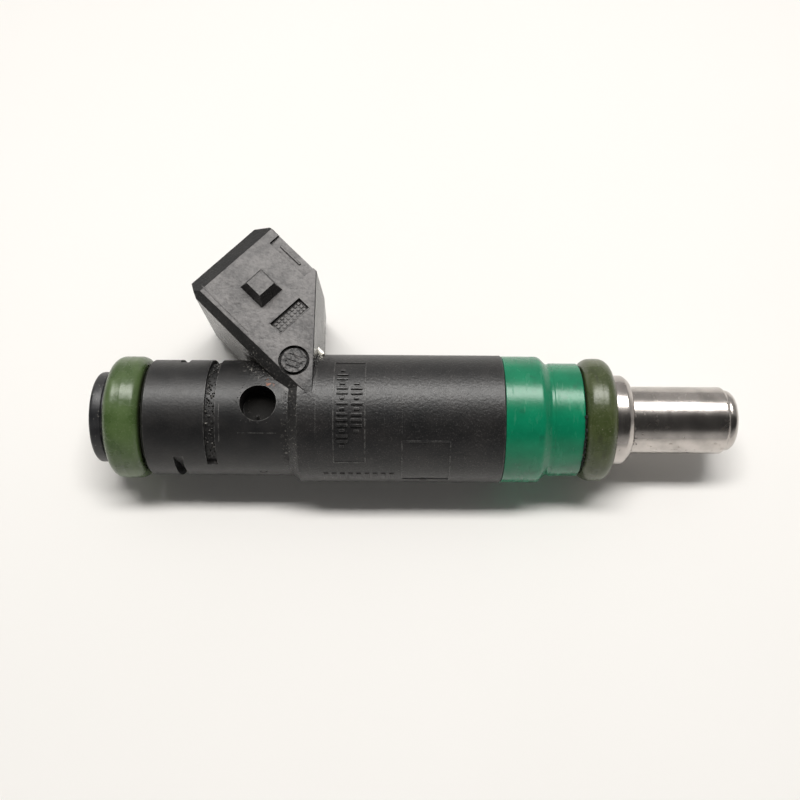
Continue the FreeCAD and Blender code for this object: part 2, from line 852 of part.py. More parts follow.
def filter_frame():
    """Return the moulded cage: a collar in the ring, four ribs and a closed floor."""
    start = inlet_end_x + filter_ring_inset
    collar_end = start + filter_ring_length
    floor_x = start + filter_length
    collar = tube(start, collar_end, filter_bore_radius, filter_screen_radius)
    floor = rod(floor_x, floor_x + filter_floor, filter_bore_radius)
    pieces = [floor]
    ring = tube(collar_end, floor_x, filter_bore_radius, filter_screen_radius)
    half = filter_rib_width / 2
    for index in range(filter_ribs):
        bar = block(collar_end, floor_x, 0, far, -half, half)
        bar.rotate(origin, axis_x, 360 * (index + 0.5) / filter_ribs)
        pieces.append(ring.common(bar))
    return collar.fuse(pieces)


def filter_screen():
    """Return the fine screen inside the cage."""
    start = inlet_end_x + filter_ring_inset
    inner = filter_screen_radius - filter_screen_wall
    return tube(start, start + filter_length, filter_screen_radius, inner)


os.makedirs("parts", exist_ok=True)

upper_seal = seal(upper_seal_x, upper_seal_width, upper_seal_radius, inlet_tube_radius, upper_seal_corner)
lower_seal = seal(0.0, lower_seal_width, lower_seal_radius, fuel_tube_radius, lower_seal_corner)

write(overmold_housing(), "overmold_housing")
write(color_sleeve(), "color_sleeve")
write(upper_seal_retainer(), "upper_seal_retainer")
write(lower_seal_retainer(), "lower_seal_retainer")
write(upper_seal, "upper_o_ring")
write(lower_seal, "lower_o_ring")
write(inlet_tube(), "inlet_tube")
write(pole_piece(), "pole_piece")
write(non_magnetic_shell(), "non_magnetic_shell")
write(valve_body(), "valve_body")
write(coil_housing(), "coil_housing")
write(flux_washer(), "flux_washer")
write(coil_bobbin(), "coil_bobbin")
write(coil_winding(), "coil_winding")
write(terminal(-1), "terminal_lower")
write(terminal(1), "terminal_upper")
write(armature(), "armature")
write(needle_tube(), "needle_tube")
write(valve_ball(), "valve_ball")
write(return_spring(), "return_spring")
write(adjusting_tube(), "adjusting_tube")
write(needle_guide(), "needle_guide")
write(valve_seat(), "valve_seat")
write(seat_o_ring(), "seat_o_ring")
write(orifice_disc(), "orifice_disc")
write(backup_washer(), "backup_washer")
write(filter_ring(), "filter_ring")
write(filter_frame(), "filter_frame")
write(filter_screen(), "filter_screen")
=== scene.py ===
import bmesh
import bpy
import math
import random
from mathutils import Matrix, Vector


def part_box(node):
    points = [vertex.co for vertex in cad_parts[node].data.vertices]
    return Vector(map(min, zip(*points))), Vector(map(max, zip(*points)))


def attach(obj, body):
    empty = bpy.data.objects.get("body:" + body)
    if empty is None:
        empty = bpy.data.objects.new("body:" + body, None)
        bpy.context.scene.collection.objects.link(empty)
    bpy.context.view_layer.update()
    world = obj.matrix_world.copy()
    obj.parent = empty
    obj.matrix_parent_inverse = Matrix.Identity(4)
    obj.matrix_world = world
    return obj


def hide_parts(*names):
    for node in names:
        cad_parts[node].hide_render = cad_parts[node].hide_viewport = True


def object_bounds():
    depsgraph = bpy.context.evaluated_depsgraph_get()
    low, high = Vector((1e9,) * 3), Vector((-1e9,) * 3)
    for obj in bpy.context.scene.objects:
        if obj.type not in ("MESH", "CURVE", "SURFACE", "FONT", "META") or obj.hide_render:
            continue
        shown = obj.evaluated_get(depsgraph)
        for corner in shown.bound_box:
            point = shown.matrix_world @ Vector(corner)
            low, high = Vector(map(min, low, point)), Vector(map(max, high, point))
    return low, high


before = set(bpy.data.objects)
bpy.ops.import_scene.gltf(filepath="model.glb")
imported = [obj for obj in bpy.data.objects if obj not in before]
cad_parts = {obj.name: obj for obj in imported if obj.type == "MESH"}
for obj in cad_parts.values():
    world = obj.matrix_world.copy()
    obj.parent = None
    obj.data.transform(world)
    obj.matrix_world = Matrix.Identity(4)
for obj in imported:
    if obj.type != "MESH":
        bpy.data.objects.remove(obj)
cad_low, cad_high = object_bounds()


# Moulded housing: one shot of charcoal glass-filled nylon round the steel tube and
# coil, with the neck, the body and the electrical socket. Its skin is grainy where the
# tool was eroded and smoother on the neck, with dust, oil grime and painted shade in the
# corners. The blind hole and two pits are painted black as shade, the socket's flat
# faces a paler grey that is partly painted sheen, and the pale fibre specks are partly
# painted glints.

MM = 0.001
BODY = "injector_body"
housing_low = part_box("overmold_housing")[0]
sleeve_low, sleeve_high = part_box("color_sleeve")
body_radius = 7.65 * MM
neck_radius = 6.9 * MM
body_end_x = sleeve_low.x
shoulder_x = body_end_x - 24.75 * MM
neck_x = housing_low.x
socket_foot = Vector((shoulder_x + 10.145 * MM, 0, 0))
socket_half_width = 7.35 * MM
diagonal = math.sqrt(0.5)
groove_x = neck_x + 7.85 * MM
hole_x = shoulder_x - 3.4 * MM
hole_floor = Vector((hole_x, 0, 4.2 * MM))
ring_mark = Vector((shoulder_x + 0.6 * MM, 4.8 * MM, 7.6 * MM))
charcoal = (0.0065, 0.0065, 0.007, 1)
charcoal_light = (0.014, 0.013, 0.013, 1)
socket_dark = (0.045, 0.042, 0.042, 1)
socket_grey_dust_and_sheen = (0.175, 0.166, 0.163, 1)
fibre_speck_and_painted_glint = (0.2, 0.185, 0.18, 1)
worn_edge = (0.16, 0.155, 0.15, 1)
black_dirt_and_shade = (0.008, 0.0075, 0.007, 1)
pale_dust = (0.3, 0.285, 0.26, 1)
rust = (0.2, 0.066, 0.028, 1)


def new_material(name):
    """Return a new material, its node tree and its shader."""
    material = bpy.data.materials.new(name)
    material.use_nodes = True
    tree = material.node_tree
    return material, tree, tree.nodes["Principled BSDF"]


def add(tree, kind, inputs, **settings):
    """Add a node. Each input takes a value or another node's output."""
    node = tree.nodes.new("ShaderNode" + kind)
    for key, value in settings.items():
        setattr(node, key, value)
    for socket, value in inputs.items():
        if isinstance(value, bpy.types.NodeSocket):
            tree.links.new(value, node.inputs[socket])
        else:
            node.inputs[socket].default_value = value
    return node


def calc(tree, operation, a, b=0.0):
    """Return the result of one sum on two values."""
    return add(tree, "Math", {0: a, 1: b}, operation=operation).outputs[0]


def fade(tree, value, start, end):
    """Return 0 at start rising smoothly to 1 at end."""
    inputs = {"Value": value, "From Min": start, "From Max": end}
    return add(tree, "MapRange", inputs, interpolation_type="SMOOTHSTEP").outputs[0]


def scale_to(tree, value, low, high):
    """Return a 0 to 1 value stretched to run from low to high."""
    inputs = {"Value": value, "To Min": low, "To Max": high}
    return add(tree, "MapRange", inputs).outputs[0]


def mix(tree, factor, a, b):
    """Return a blend of two colours."""
    node = add(tree, "Mix", {0: factor, 6: a, 7: b}, data_type="RGBA")
    return node.outputs[2]


def grain(tree, place, size, detail=2.0, stretch=(1, 1, 1)):
    """Return noise whose features are about one size across, stretched along the axes."""
    moved = add(tree, "Mapping", {"Vector": place, "Scale": stretch}).outputs[0]
    inputs = {"Vector": moved, "Scale": 1 / size, "Detail": detail}
    return add(tree, "TexNoise", inputs).outputs["Fac"]


def near(tree, place, centre, reach):
    """Return 1 at a point, fading to 0 at a distance from it."""
    gap = add(tree, "VectorMath", {0: place, 1: centre}, operation="DISTANCE")
    return fade(tree, gap.outputs["Value"], reach, 0.0)


def bump(tree, height, depth, under=None):
    """Return a normal bumped by a height of up to a depth, over another normal."""
    inputs = {"Height": height, "Distance": depth, "Strength": 1.0}
    if under is not None:
        inputs["Normal"] = under
    return add(tree, "Bump", inputs).outputs[0]


def crevice(tree, reach):
    """Return 0 on open surfaces, rising to 1 deep in corners."""
    shade = add(tree, "AmbientOcclusion", {"Distance": reach}, samples=8)
    return calc(tree, "SUBTRACT", 1.0, shade.outputs["AO"])


def edge_wear(tree, radius):
    """Return 1 where a rounded edge would turn away from its flat faces."""
    rounded = add(tree, "Bevel", {"Radius": radius}, samples=6).outputs[0]
    flat = add(tree, "NewGeometry", {}).outputs["Normal"]
    turn = add(tree, "VectorMath", {0: rounded, 1: flat}, operation="DOT_PRODUCT")
    return fade(tree, turn.outputs["Value"], 0.995, 0.9)


def socket_reach(tree, place):
    """Return how far a point is out along the socket, and across it."""
    from_foot = add(tree, "VectorMath", {0: place, 1: socket_foot}, operation="SUBTRACT").outputs[0]
    results = []
    for direction in ((-diagonal, diagonal, 0), (diagonal, diagonal, 0)):
        along = add(tree, "VectorMath", {0: from_foot, 1: direction}, operation="DOT_PRODUCT")
        results.append(along.outputs["Value"])
    return results


def housing_zones(tree, place, x):
    """Return masks for the neck, the socket's faces and walls, the round mark and the hole."""
    out, across = socket_reach(tree, place)
    on_socket = calc(tree, "MULTIPLY", fade(tree, out, 6.6 * MM, 8.6 * MM),
                     fade(tree, across, -6.6 * MM, -6.2 * MM))
    on_neck = calc(tree, "MULTIPLY", fade(tree, x, shoulder_x + 0.9 * MM, shoulder_x),
                   fade(tree, on_socket, 0.6, 0.3))
    flat = add(tree, "NewGeometry", {}).outputs["True Normal"]
    flat_z = calc(tree, "ABSOLUTE", add(tree, "SeparateXYZ", {"Vector": flat}).outputs["Z"])
    on_wall = calc(tree, "MULTIPLY", on_socket, fade(tree, flat_z, 0.5, 0.3))
    return {
        "neck": on_neck,
        "face": calc(tree, "MULTIPLY", on_socket, fade(tree, flat_z, 0.9, 0.985)),
        "wall": on_wall,
        "low_wall": calc(tree, "MULTIPLY", on_wall, fade(tree, across, -5 * MM, -5.6 * MM)),
        "mark": fade(tree, near(tree, place, ring_mark, 1.9 * MM), 0.0, 0.06),
        "hole": fade(tree, near(tree, place, hole_floor, 2.35 * MM), 0.0, 0.1),
    }


def nylon_colour(tree, zones, mottle, fine, cloud):
    """Return the charcoal nylon's colour: its own tone, pale fibre specks that are partly painted glints, a
    paler socket face that is partly painted sheen, and worn edges.
    """
    colour = mix(tree, fade(tree, cloud, 0.35, 0.7), charcoal, charcoal_light)
    patches = add(tree, "Mix", {0: 0.45, 2: mottle, 3: cloud}).outputs[0]
    socket_tone_dust_and_sheen = mix(tree, fade(tree, patches, 0.34, 0.66), socket_dark, socket_grey_dust_and_sheen)
    # Paler grey on the socket's flat faces: partly dust, partly painted sheen.
    colour = mix(tree, zones["face"], colour, socket_tone_dust_and_sheen)
    speck_and_glint_share = scale_to(tree, zones["neck"], 0.22, 0.05)
    specks_and_painted_glints = calc(tree, "MULTIPLY", fade(tree, fine, 0.56, 0.72), speck_and_glint_share)
    # Pale fibre specks, partly painted glints.
    colour = mix(tree, specks_and_painted_glints, colour, fibre_speck_and_painted_glint)
    wear = calc(tree, "MULTIPLY", edge_wear(tree, 0.16 * MM), fade(tree, mottle, 0.35, 0.62))
    return mix(tree, calc(tree, "MULTIPLY", wear, 0.7), colour, worn_edge), patches


def dirt_and_shade_masks(tree, place, x, zones, mottle, cloud):
    """Return masks for open corners, the soiled root and shoulder, and black grime that also holds painted
    shade in the corners.
    """
    corner = crevice(tree, 1.3 * MM)
    grime_and_shade = fade(tree, calc(tree, "MULTIPLY", corner, scale_to(tree, cloud, 0.5, 1.6)), 0.22, 0.62)
    root = near(tree, place, (shoulder_x - 2.2 * MM, 5.6 * MM, 4.4 * MM), 5.2 * MM)
    shoulder_band = calc(tree, "MULTIPLY",
                         fade(tree, x, shoulder_x - 1.1 * MM, shoulder_x - 0.1 * MM),
                         fade(tree, x, shoulder_x + 1.4 * MM, shoulder_x + 1.0 * MM))
    soiled = calc(tree, "MAXIMUM", fade(tree, root, 0.05, 0.5),
                  calc(tree, "MULTIPLY", shoulder_band, 0.55))
    soiled = calc(tree, "MULTIPLY", soiled, calc(tree, "SUBTRACT", 1.0, zones["face"]))
    grime_and_shade = calc(tree, "MAXIMUM", grime_and_shade, calc(tree, "MULTIPLY", soiled, fade(tree, mottle, 0.25, 0.6)))
    return corner, soiled, grime_and_shade


def soiled_colour(tree, place, colour, zones, dirt_and_shade, mottle):
    """Return the colour with grime and painted corner shade, pale dust, a rust spot, the dark mark, and the
    hole painted black as shade.
    """
    corner, soiled, grime_and_shade = dirt_and_shade
    # Painted shade: corners are darkened towards black along with the grime.
    colour = mix(tree, calc(tree, "MULTIPLY", grime_and_shade, 0.85), colour, black_dirt_and_shade)
    dark_mark = calc(tree, "MULTIPLY", zones["mark"], fade(tree, mottle, 0.8, 0.3))
    colour = mix(tree, dark_mark, colour, charcoal)
    # Painted shade: the blind hole is painted black.
    colour = mix(tree, zones["hole"], colour, black_dirt_and_shade)
    wall_soil = calc(tree, "MULTIPLY", zones["low_wall"], fade(tree, mottle, 0.5, 0.62))
    colour = mix(tree, calc(tree, "MULTIPLY", wall_soil, 0.5), colour, pale_dust)
    speck = fade(tree, grain(tree, place, 0.3 * MM, 3.0), 0.6, 0.69)
    dusty = calc(tree, "MAXIMUM", calc(tree, "MULTIPLY", soiled, 0.75),
                 calc(tree, "MULTIPLY", corner, 0.25))
    colour = mix(tree, calc(tree, "MULTIPLY", speck, dusty), colour, pale_dust)
    rust_spot = near(tree, place, (hole_x + 1.1 * MM, 2.35 * MM, 6.5 * MM), 1.3 * MM)
    rust_spot = calc(tree, "MULTIPLY", rust_spot, fade(tree, mottle, 0.4, 0.62))
    return mix(tree, fade(tree, rust_spot, 0.25, 0.7), colour, rust)


def nylon_roughness(tree, zones, mottle, cloud, patches, grime_and_shade):
    """Return the roughness: satin skin, duller under the grime and corner shade, and a matt hole."""
    rough = scale_to(tree, mottle, 0.34, 0.48)
    for zone, other in (("neck", scale_to(tree, patches, 0.32, 0.56)),
                        ("face", scale_to(tree, mottle, 0.4, 0.6)),
                        ("wall", scale_to(tree, cloud, 0.2, 0.32))):
        rough = add(tree, "Mix", {0: zones[zone], 2: rough, 3: other}).outputs[0]
    rough = calc(tree, "MAXIMUM", rough, scale_to(tree, grime_and_shade, 0.0, 0.6))
    return add(tree, "Mix", {0: zones["hole"], 2: rough, 3: 0.95}).outputs[0]


def nylon_relief(tree, place, zones, mottle, fine, dirt_and_shade, pits):
    """Return the normal of the eroded skin, the faint flow lines, the dirt and the pits."""
    skin = scale_to(tree, zones["neck"], 1.0, 0.5)
    normal = bump(tree, calc(tree, "MULTIPLY", fine, skin), 0.009 * MM)
    eroded = calc(tree, "MULTIPLY", grain(tree, place, 0.3 * MM, 1.0), skin)
    normal = bump(tree, eroded, 0.03 * MM, normal)
    normal = bump(tree, calc(tree, "MULTIPLY", mottle, zones["face"]), 0.045 * MM, normal)
    normal = bump(tree, calc(tree, "MULTIPLY", mottle, zones["mark"]), 0.2 * MM, normal)
    flow_lines = grain(tree, place, 0.35 * MM, 3.0, (1, 0.06, 0.06))
    normal = bump(tree, flow_lines, 0.008 * MM, normal)
    lumps = calc(tree, "MULTIPLY", grain(tree, place, 0.35 * MM, 4.0),
                 calc(tree, "MAXIMUM", dirt_and_shade[1], dirt_and_shade[2]))
    normal = bump(tree, lumps, 0.16 * MM, normal)
    return bump(tree, calc(tree, "SUBTRACT", 1.0, pits), 0.25 * MM, normal)


def housing_material():
    """Return the worn charcoal nylon of the housing."""
    material, tree, shader = new_material("charcoal_glass_filled_nylon")
    place = add(tree, "TexCoord", {}).outputs["Object"]
    x = add(tree, "SeparateXYZ", {"Vector": place}).outputs["X"]
    zones = housing_zones(tree, place, x)
    cloud = grain(tree, place, 3.2 * MM, 4.0)
    mottle = grain(tree, place, 0.55 * MM, 3.0)
    fine = grain(tree, place, 0.13 * MM, 2.0)
    colour, patches = nylon_colour(tree, zones, mottle, fine, cloud)
    dirt_and_shade = dirt_and_shade_masks(tree, place, x, zones, mottle, cloud)
    colour = soiled_colour(tree, place, colour, zones, dirt_and_shade, mottle)
    body_pit = near(tree, place, (shoulder_x + 15.5 * MM, -7.58 * MM, 1.04 * MM), 0.8 * MM)
    neck_pit = near(tree, place, (shoulder_x - 3.2 * MM, -6.8 * MM, 1.2 * MM), 0.7 * MM)
    pits = fade(tree, calc(tree, "MAXIMUM", body_pit, neck_pit), 0.2, 0.6)
    # Painted shade: the two pits are painted black.
    colour = mix(tree, pits, colour, black_dirt_and_shade)
    rough = nylon_roughness(tree, zones, mottle, cloud, patches, dirt_and_shade[2])
    normal = nylon_relief(tree, place, zones, mottle, fine, dirt_and_shade, pits)
    tree.links.new(colour, shader.inputs["Base Color"])
    tree.links.new(rough, shader.inputs["Roughness"])
    tree.links.new(normal, shader.inputs["Normal"])
    return material


def merged(node):
    """Return a bmesh copy of a CAD node, its loose triangles joined into whole faces."""
    bm = bmesh.new()
    bm.from_mesh(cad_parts[node].data)
    bmesh.ops.remove_doubles(bm, verts=bm.verts, dist=0.001 * MM)
    bmesh.ops.dissolve_limit(bm, angle_limit=math.radians(0.4), verts=bm.verts, edges=bm.edges)
    return bm


def finished(bm, name, material, body=BODY, sharp=24):
    """Turn a bmesh into a piece that rides on a body, smooth except at sharp edges."""
    mesh = bpy.data.meshes.new(name)
    bm.to_mesh(mesh)
    bm.free()
    cad_normals = mesh.attributes.get("custom_normal")
    if cad_normals:
        mesh.attributes.remove(cad_normals)
    mesh.shade_smooth()
    mesh.set_sharp_from_angle(angle=math.radians(sharp))
    mesh.materials.clear()
    mesh.materials.append(material)
    piece = bpy.data.objects.new(name, mesh)
    bpy.context.scene.collection.objects.link(piece)
    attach(piece, body)
    return piece


def slimness(mesh, face):
    """Return how long and thin a face is: 16 for a square, more for a strip."""
    corners = [mesh.vertices[index].co for index in face.vertices]
    around = sum((a - b).length for a, b in zip(corners, corners[1:] + corners[:1]))
    return around * around / face.area


def crisp_flats(piece, least_area):
    """Mark the border of each large flat face as sharp, so that it stays evenly lit."""
    mesh = piece.data
    border = set()
    for face in mesh.polygons:
        if face.area > least_area and len(face.vertices) > 4 and slimness(mesh, face) < 45:
            border.update(face.edge_keys)
    sharp = mesh.attributes["sharp_edge"].data
    for edge in mesh.edges:
        if edge.key in border:
            sharp[edge.index].value = True


housing_nylon = housing_material()
housing = finished(merged("overmold_housing"), "housing", housing_nylon)
crisp_flats(housing, 6 * MM * MM)
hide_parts("overmold_housing")


# Raised marks on the body: a framed panel with two rows of plain bars, a second plain
# frame nearer the sleeve, a row of small pips low on the side and a few witness lines.
# All are cut in the mould, so they stand a few hundredths of a millimetre proud.

mark_height = 0.07 * MM
frame_line = 0.13 * MM
bar_rise = 0.19 * MM
bar_width = 0.3 * MM


def arc_line(bm, start_x, end_x, radius, height, start_angle, end_angle):
    """Add a curved strip round the X axis. Angles run from +Y up towards +Z."""
    low, high = radius - height, radius + height
    corners = [(start_x, low), (end_x, low), (end_x, high), (start_x, high)]
    turn = Matrix.Rotation(math.radians(start_angle), 4, "X")
    face = bm.faces.new([bm.verts.new(turn @ Vector((x, r, 0))) for x, r in corners])
    sweep = math.radians(end_angle - start_angle)
    steps = max(2, int(abs(end_angle - start_angle) / 3))
    bmesh.ops.spin(bm, geom=[face], axis=(1, 0, 0), cent=(0, 0, 0), angle=sweep, steps=steps)


def bar(bm, matrix, length, width, height, corner):
    """Add a small bar with rounded edges, in its own frame: X long, Y wide, Z high."""
    size = Matrix.Diagonal((length, width, height, 1))
    made = bmesh.ops.create_cube(bm, size=1, matrix=matrix @ size)
    edges = list({edge for vert in made["verts"] for edge in vert.link_edges})
    bmesh.ops.bevel(bm, geom=edges, offset=corner, affect="EDGES", segments=2, profile=0.5, material=-1)


def on_barrel(x, angle, radius):
    """Return the frame of a place on a cylinder round the X axis, with Z outwards."""
    turn = Matrix.Rotation(math.radians(angle - 90), 4, "X")
    return turn @ Matrix.Translation((x, 0, radius))


def outward(bm):
    """Merge doubles and point every face outwards."""
    bmesh.ops.remove_doubles(bm, verts=bm.verts, dist=0.0005 * MM)
    bmesh.ops.recalc_face_normals(bm, faces=bm.faces)
    return bm


def barrel_frame(bm, low_x, high_x, low_angle, high_angle):
    """Add a rectangular outline on the body."""
    half = frame_line / 2
    for x in (low_x, high_x):
        arc_line(bm, x - half, x + half, body_radius, mark_height, low_angle, high_angle)
    for angle in (low_angle, high_angle):
        middle = on_barrel((low_x + high_x) / 2, angle, body_radius)
        bar(bm, middle, high_x - low_x, frame_line, 2 * mark_height, 0.02 * MM)


marks = bmesh.new()
panel_low = shoulder_x + 5.2 * MM
panel_high = shoulder_x + 8.8 * MM
barrel_frame(marks, panel_low, panel_high, 48, 146)
barrel_frame(marks, shoulder_x + 13.0 * MM, shoulder_x + 18.5 * MM, 124.5, 172)
bar(marks, on_barrel(shoulder_x + 15.75 * MM, 124.5, body_radius), 5.5 * MM, 0.24 * MM, 0.24 * MM, 0.1 * MM)
long_row = [0.5, 1.3, 1.3, 0.6, 1.3, 1.3, 0.5, 1.3, 0.6, 1.3, 1.3, 1.3, 0.6, 1.3, 1.3, 0.5]
for index, length in enumerate(long_row):
    foot = on_barrel(panel_low + 1.0 * MM, 60 + 4.6 * index, body_radius)
    bar(marks, foot, length * MM, bar_width, 2 * bar_rise, 0.04 * MM)
for index, length in enumerate(long_row[3:13]):
    foot = on_barrel(panel_low + 2.65 * MM, 74 + 4.6 * index, body_radius)
    bar(marks, foot, length * MM, bar_width, 2 * bar_rise, 0.04 * MM)
for index in range(9):
    foot = on_barrel(shoulder_x + (4.2 + 0.95 * index) * MM, 166, body_radius)
    bar(marks, foot, 0.55 * MM, 1.3 * MM, 0.14 * MM, 0.04 * MM)
for x, low_angle, high_angle in ((11.0, 60, 120), (13.0, 55, 118)):
    start = shoulder_x + x * MM
    arc_line(marks, start, start + 0.05 * MM, body_radius, 0.006 * MM, low_angle, high_angle)
neck_line = on_barrel(shoulder_x - 3.5 * MM, 119.5, neck_radius)
bar(marks, neck_line, 4.4 * MM, 0.09 * MM, 0.08 * MM, 0.015 * MM)
arc_line(marks, neck_x + 8.9 * MM, neck_x + 9.0 * MM, neck_radius, 0.02 * MM, 92, 128)
finished(outward(marks), "body_marks", housing_nylon)


# Moulded details on the socket's upper side: a rough floor in the date pocket, plain
# bars inside the round mark, a low rib in the side step and a fine witness ridge.

pocket_u = 14.5 * MM
pocket_floor = socket_half_width - 0.3 * MM
root_half_width = 7.69 * MM
root_u = 6.325 * MM
bevel_u = 24.2 * MM


def side_z(u):
    """Return the height of the socket's drafted side face at a reach out along it."""
    return root_half_width + (socket_half_width - root_half_width) * (u - root_u) / (bevel_u - root_u)


def on_socket_side(u, v, z):
    """Return the frame of a place on the socket's side: X out along it, Y across, Z up."""
    place = socket_foot + Vector((-diagonal, diagonal, 0)) * u + Vector((diagonal, diagonal, 0)) * v
    turn = Matrix.Rotation(math.radians(135), 4, "Z")
    return Matrix.Translation(place + Vector((0, 0, z))) @ turn


details = bmesh.new()
steps = random.Random(4)
for row in range(3):
    for column in range(8):
        u = pocket_u + (row - 1) * 0.5 * MM
        v = (column - 3.5) * 0.52 * MM
        rise = steps.uniform(0.05, 0.14) * MM
        bar(details, on_socket_side(u, v, pocket_floor), 0.34 * MM, 0.36 * MM, 2 * rise, 0.04 * MM)
for offset, length in ((-0.7, 1.6), (0.0, 2.2), (0.7, 1.6)):
    slanted = Matrix.Translation(ring_mark) @ Matrix.Rotation(math.radians(-20), 4, "Z")
    slanted = slanted @ Matrix.Translation((0, offset * MM, 0))
    bar(details, slanted, length * MM, 0.24 * MM, 0.2 * MM, 0.04 * MM)
rib = on_socket_side(20.2 * MM, 5.35 * MM, 7.05 * MM)
bar(details, rib, 3.4 * MM, 0.32 * MM, 0.3 * MM, 0.08 * MM)
for step in range(8):
    u = (17.0 + step) * MM
    bar(details, on_socket_side(u, -4.75 * MM, side_z(u)), 1.06 * MM, 0.12 * MM, 0.1 * MM, 0.03 * MM)
for side in (-1, 1):
    for edge in (-0.9, 0.9):
        rim = on_socket_side(pocket_u + edge * MM, 0, side * side_z(pocket_u + edge * MM))
        bar(details, rim, 0.12 * MM, 4.7 * MM, 0.08 * MM, 0.02 * MM)
finished(outward(details), "socket_details", housing_nylon)


# Grit: road dirt and oil-bound sand packed into the ring groove, the root of the socket,
# the shoulder, the rim of the blind hole, behind the lower seal and in front of the
# collar. Each crumb is a faceted speck.

grit = bmesh.new()
chance = random.Random(11)
lower_gap_x = sleeve_high.x + 0.02 * MM
collar_front_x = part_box("lower_seal_retainer")[1].x


def crumb(bm, place, size):
    """Add one faceted crumb, flattened and turned at random."""
    turn = Matrix.Rotation(chance.uniform(0, math.tau), 4, "Z")
    turn = turn @ Matrix.Rotation(chance.uniform(0, math.tau), 4, "X")
    shares = (chance.uniform(0.7, 1.4), chance.uniform(0.6, 1.2), chance.uniform(0.4, 0.8), 1)
    matrix = Matrix.Translation(place) @ turn @ Matrix.Diagonal(shares)
    bmesh.ops.create_icosphere(bm, subdivisions=1, radius=size, matrix=matrix)


def barrel_point(x, angle, radius):
    """Return a point on a cylinder round the X axis."""
    turned = math.radians(angle)
    return Vector((x, radius * math.cos(turned), radius * math.sin(turned)))


for index in range(170):
    x = groove_x + chance.uniform(-0.5, 0.5) * MM
    place = barrel_point(x, chance.uniform(8, 152), neck_radius - 0.42 * MM)
    crumb(grit, place, chance.uniform(0.05, 0.15) * MM)
for index in range(260):
    x = shoulder_x - chance.uniform(0.1, 5.5) * MM
    angle = 22 + 34 * chance.betavariate(1.2, 2.6)
    crumb(grit, barrel_point(x, angle, neck_radius), chance.uniform(0.04, 0.13) * MM)
for index in range(90):
    x = shoulder_x - chance.uniform(-0.15, 0.55) * MM
    place = barrel_point(x, chance.uniform(50, 150), neck_radius + 0.02 * MM)
    crumb(grit, place, chance.uniform(0.03, 0.08) * MM)
for index in range(60):
    around = chance.uniform(0, math.tau)
    reach = (2.15 + abs(chance.gauss(0, 0.25))) * MM
    side = reach * math.sin(around)
    height = math.sqrt(neck_radius ** 2 - side ** 2)
    crumb(grit, Vector((hole_x + reach * math.cos(around), side, height)), chance.uniform(0.03, 0.09) * MM)


for index in range(110):
    x = lower_gap_x + chance.uniform(-0.12, 0.12) * MM
    place = barrel_point(x, chance.uniform(100, 160), 6.85 * MM)
    crumb(grit, place, chance.uniform(0.05, 0.12) * MM)
for index in range(50):
    x = collar_front_x + chance.betavariate(1.2, 3) * 0.7 * MM
    place = barrel_point(x, chance.uniform(112, 150), 4.05 * MM)
    crumb(grit, place, chance.uniform(0.03, 0.09) * MM)
crumb(grit, hole_floor + Vector((-0.3 * MM, -1.0 * MM, 0)), 0.26 * MM)


def grit_material():
    """Return the mixed black and pale dirt."""
    material, tree, shader = new_material("oily_grit")
    place = add(tree, "TexCoord", {}).outputs["Object"]
    tone = grain(tree, place, 0.45 * MM, 3.0)
    colour = mix(tree, fade(tree, tone, 0.52, 0.64), black_dirt_and_shade, (0.09, 0.085, 0.078, 1))
    colour = mix(tree, fade(tree, tone, 0.64, 0.72), colour, pale_dust)
    tree.links.new(colour, shader.inputs["Base Color"])
    tree.links.new(scale_to(tree, tone, 0.35, 0.9), shader.inputs["Roughness"])
    tree.links.new(bump(tree, grain(tree, place, 0.06 * MM), 0.02 * MM), shader.inputs["Normal"])
    return material


finished(grit, "grit", grit_material())


# Upper and lower O-rings: green fluoroelastomer, moulded, with a fine flash line round
# the crown. The upper one has taken a flat set from the rail cup, the lower is soiled.


def turned(outline, steps=160):
    """Return a closed ring spun about the X axis from (x, radius, corner rounding) points."""
    bm = bmesh.new()
    verts = [bm.verts.new((x, radius, 0)) for x, radius, rounding in outline]
    bm.faces.new(verts)
    for vert, (x, radius, rounding) in zip(verts, outline):
        if rounding:
            segments = 10 if rounding > 0.5 * MM else 4
            bmesh.ops.bevel(bm, geom=[vert], offset=rounding, affect="VERTICES",
                            segments=segments, profile=0.5, material=-1)
    bmesh.ops.delete(bm, geom=list(bm.faces), context="FACES_ONLY")
    bmesh.ops.spin(bm, geom=list(bm.verts) + list(bm.edges), axis=(1, 0, 0), cent=(0, 0, 0),
                   angle=math.tau, steps=steps, use_merge=True)
    return outward(bm)


def seal_ring(node, rounding, flash):
    """Return an O-ring with rounded sides, its crown slightly domed, and a flash line."""
    low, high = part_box(node)
    inner = {"upper_o_ring": 3.76 * MM, "lower_o_ring": 4.2 * MM}[node]
    middle = (low.x + high.x) / 2
    crown = high.z - flash
    return turned([
        (low.x, inner, 0.3 * MM),
        (low.x, crown, rounding),
        (middle - 0.06 * MM, crown, 0),
        (middle, high.z, 0.03 * MM),
        (middle + 0.06 * MM, crown, 0),
        (high.x, crown, rounding),
        (high.x, inner, 0.3 * MM),
    ])


